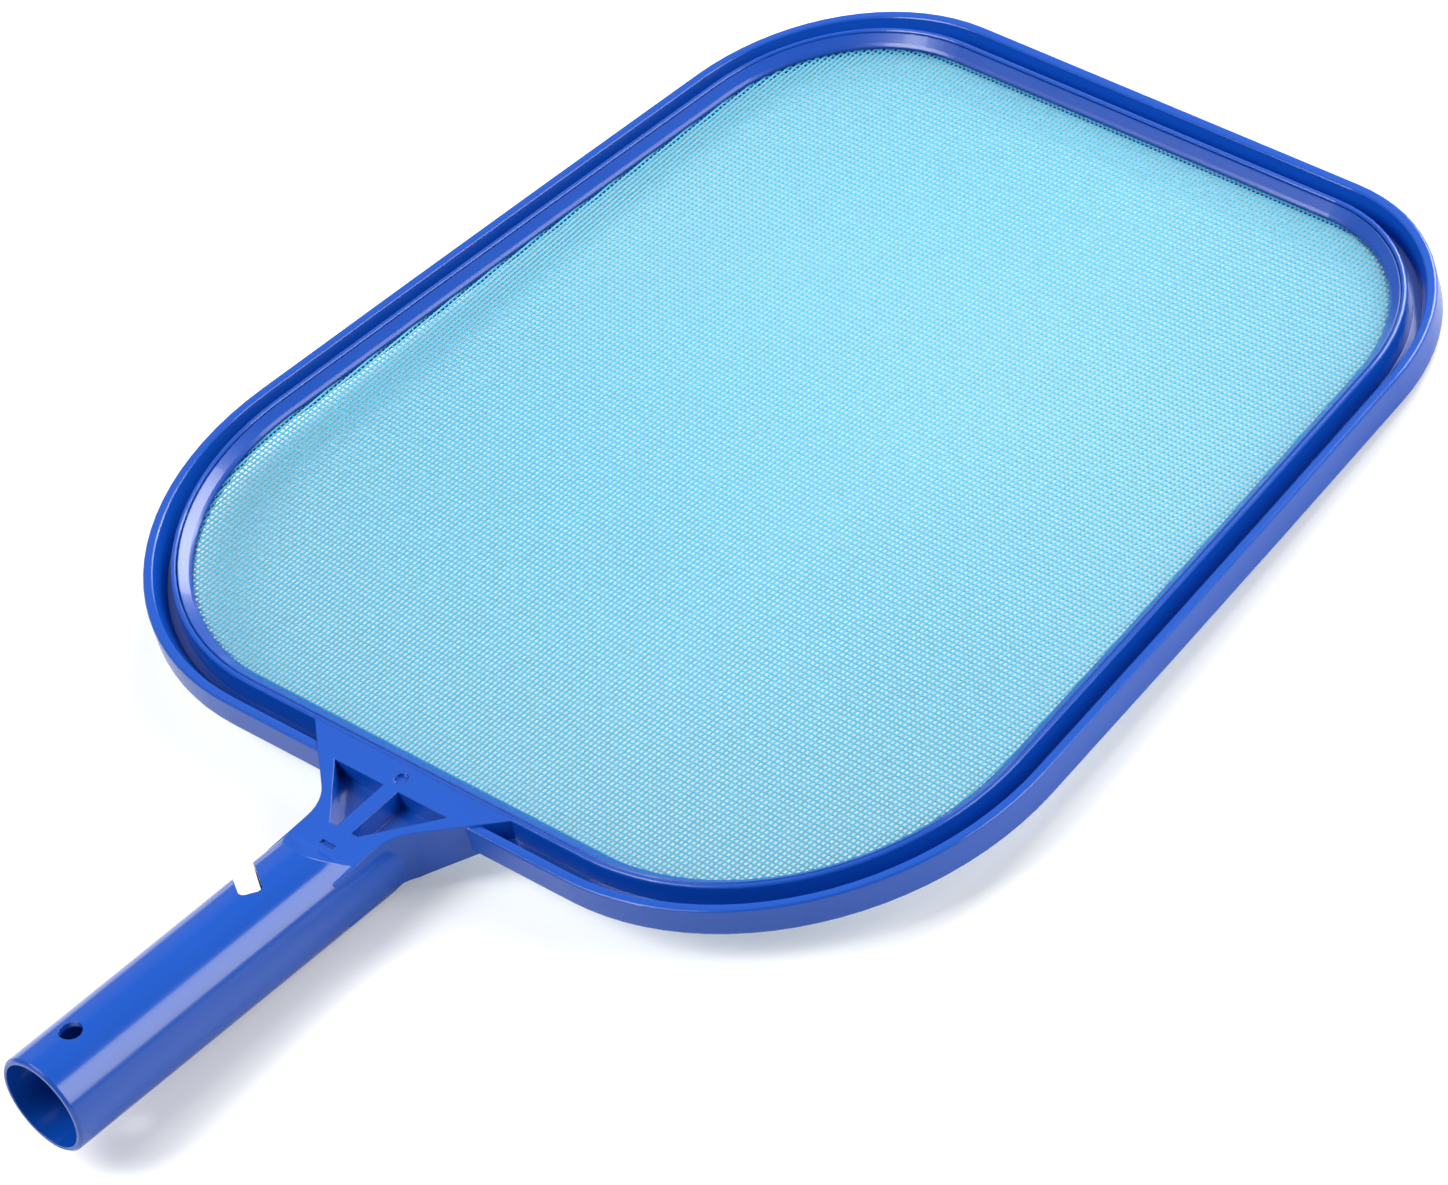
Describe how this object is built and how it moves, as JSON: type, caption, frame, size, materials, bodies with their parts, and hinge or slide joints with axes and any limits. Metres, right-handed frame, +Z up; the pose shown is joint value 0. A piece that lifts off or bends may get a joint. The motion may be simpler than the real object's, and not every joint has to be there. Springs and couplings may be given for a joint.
{
  "type": "leaf skimmer net",
  "caption": "Flat pool leaf skimmer head: a moulded channel rim with a tubular pole handle, a flat fine-mesh net and the ring that holds the net in the rim.",
  "frame": {"origin": "centre of the handle's mouth", "axes": "+X along the head from the handle's mouth to the far end of the rim, +Y across, +Z up, square to the flat rim; the handle's axis climbs 3.2 degrees towards the mouth"},
  "size_m": [0.4366, 0.3, 0.0347],
  "materials": {
    "frame_plastic": "satin blue moulding",
    "ring_plastic": "satin blue moulding",
    "net_mesh": "pale cyan plastic mesh"
  },
  "bodies": {
    "root": {"frame": "frame_plastic", "net_ring": "ring_plastic", "net": "net_mesh"}
  },
  "joints": []
}
